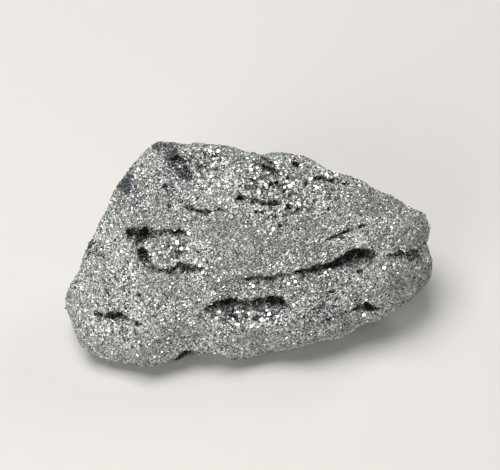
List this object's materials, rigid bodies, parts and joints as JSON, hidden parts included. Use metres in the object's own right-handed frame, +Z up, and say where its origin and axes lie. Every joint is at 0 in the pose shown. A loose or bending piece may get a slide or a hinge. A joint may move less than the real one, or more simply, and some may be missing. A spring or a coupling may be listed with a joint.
{
  "type": "pyrite nugget",
  "caption": "Rough wedge-shaped nugget of fine-grained silver-grey pyrite, with ledges, cracks and open hollows lined with small bright crystals.",
  "frame": {"origin": "on the surface it rests on, under the middle of its box as seen from above", "axes": "+X along the stone's length, towards its pointed end; +Y towards its back; -Y is the side that its broad face leans back from; +Z up"},
  "size_m": [0.05, 0.0288, 0.0224],
  "materials": {
    "pyrite": "fine-grained metallic sulphide, silver-grey with bright crystal glints"
  },
  "bodies": {
    "root": {"pyrite_nugget": "pyrite"}
  },
  "joints": []
}
